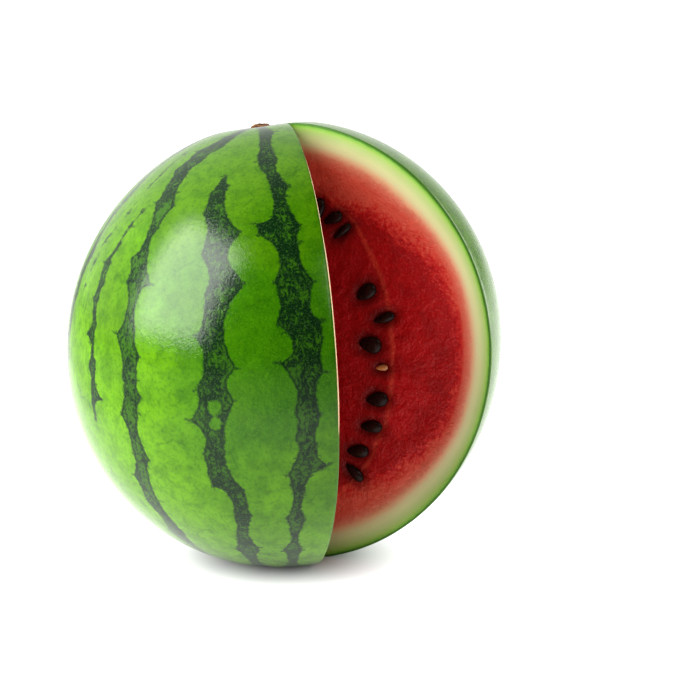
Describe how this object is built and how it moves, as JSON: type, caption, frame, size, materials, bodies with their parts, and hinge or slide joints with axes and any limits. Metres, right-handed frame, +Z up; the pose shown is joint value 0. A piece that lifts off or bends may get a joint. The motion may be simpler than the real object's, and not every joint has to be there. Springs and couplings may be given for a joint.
{
  "type": "watermelon",
  "caption": "Round striped watermelon with a wedge cut out, showing red flesh and dark seeds, standing on a small flat spot.",
  "frame": {"origin": "on the flat spot that the fruit rests on, straight under the middle of the fruit", "axes": "+Z up from the resting surface, -Y to the front that the picture shows, +X to the viewer's right; the wedge opens between 10 and 66 degrees round from -Y towards +X, and the stem end is at the top"},
  "size_m": [0.215, 0.2144, 0.2188],
  "materials": {
    "rind": "satin",
    "flesh": "satin",
    "seed": "gloss",
    "stem_cork": "matte"
  },
  "bodies": {
    "root": {"watermelon": "rind"}
  },
  "joints": []
}
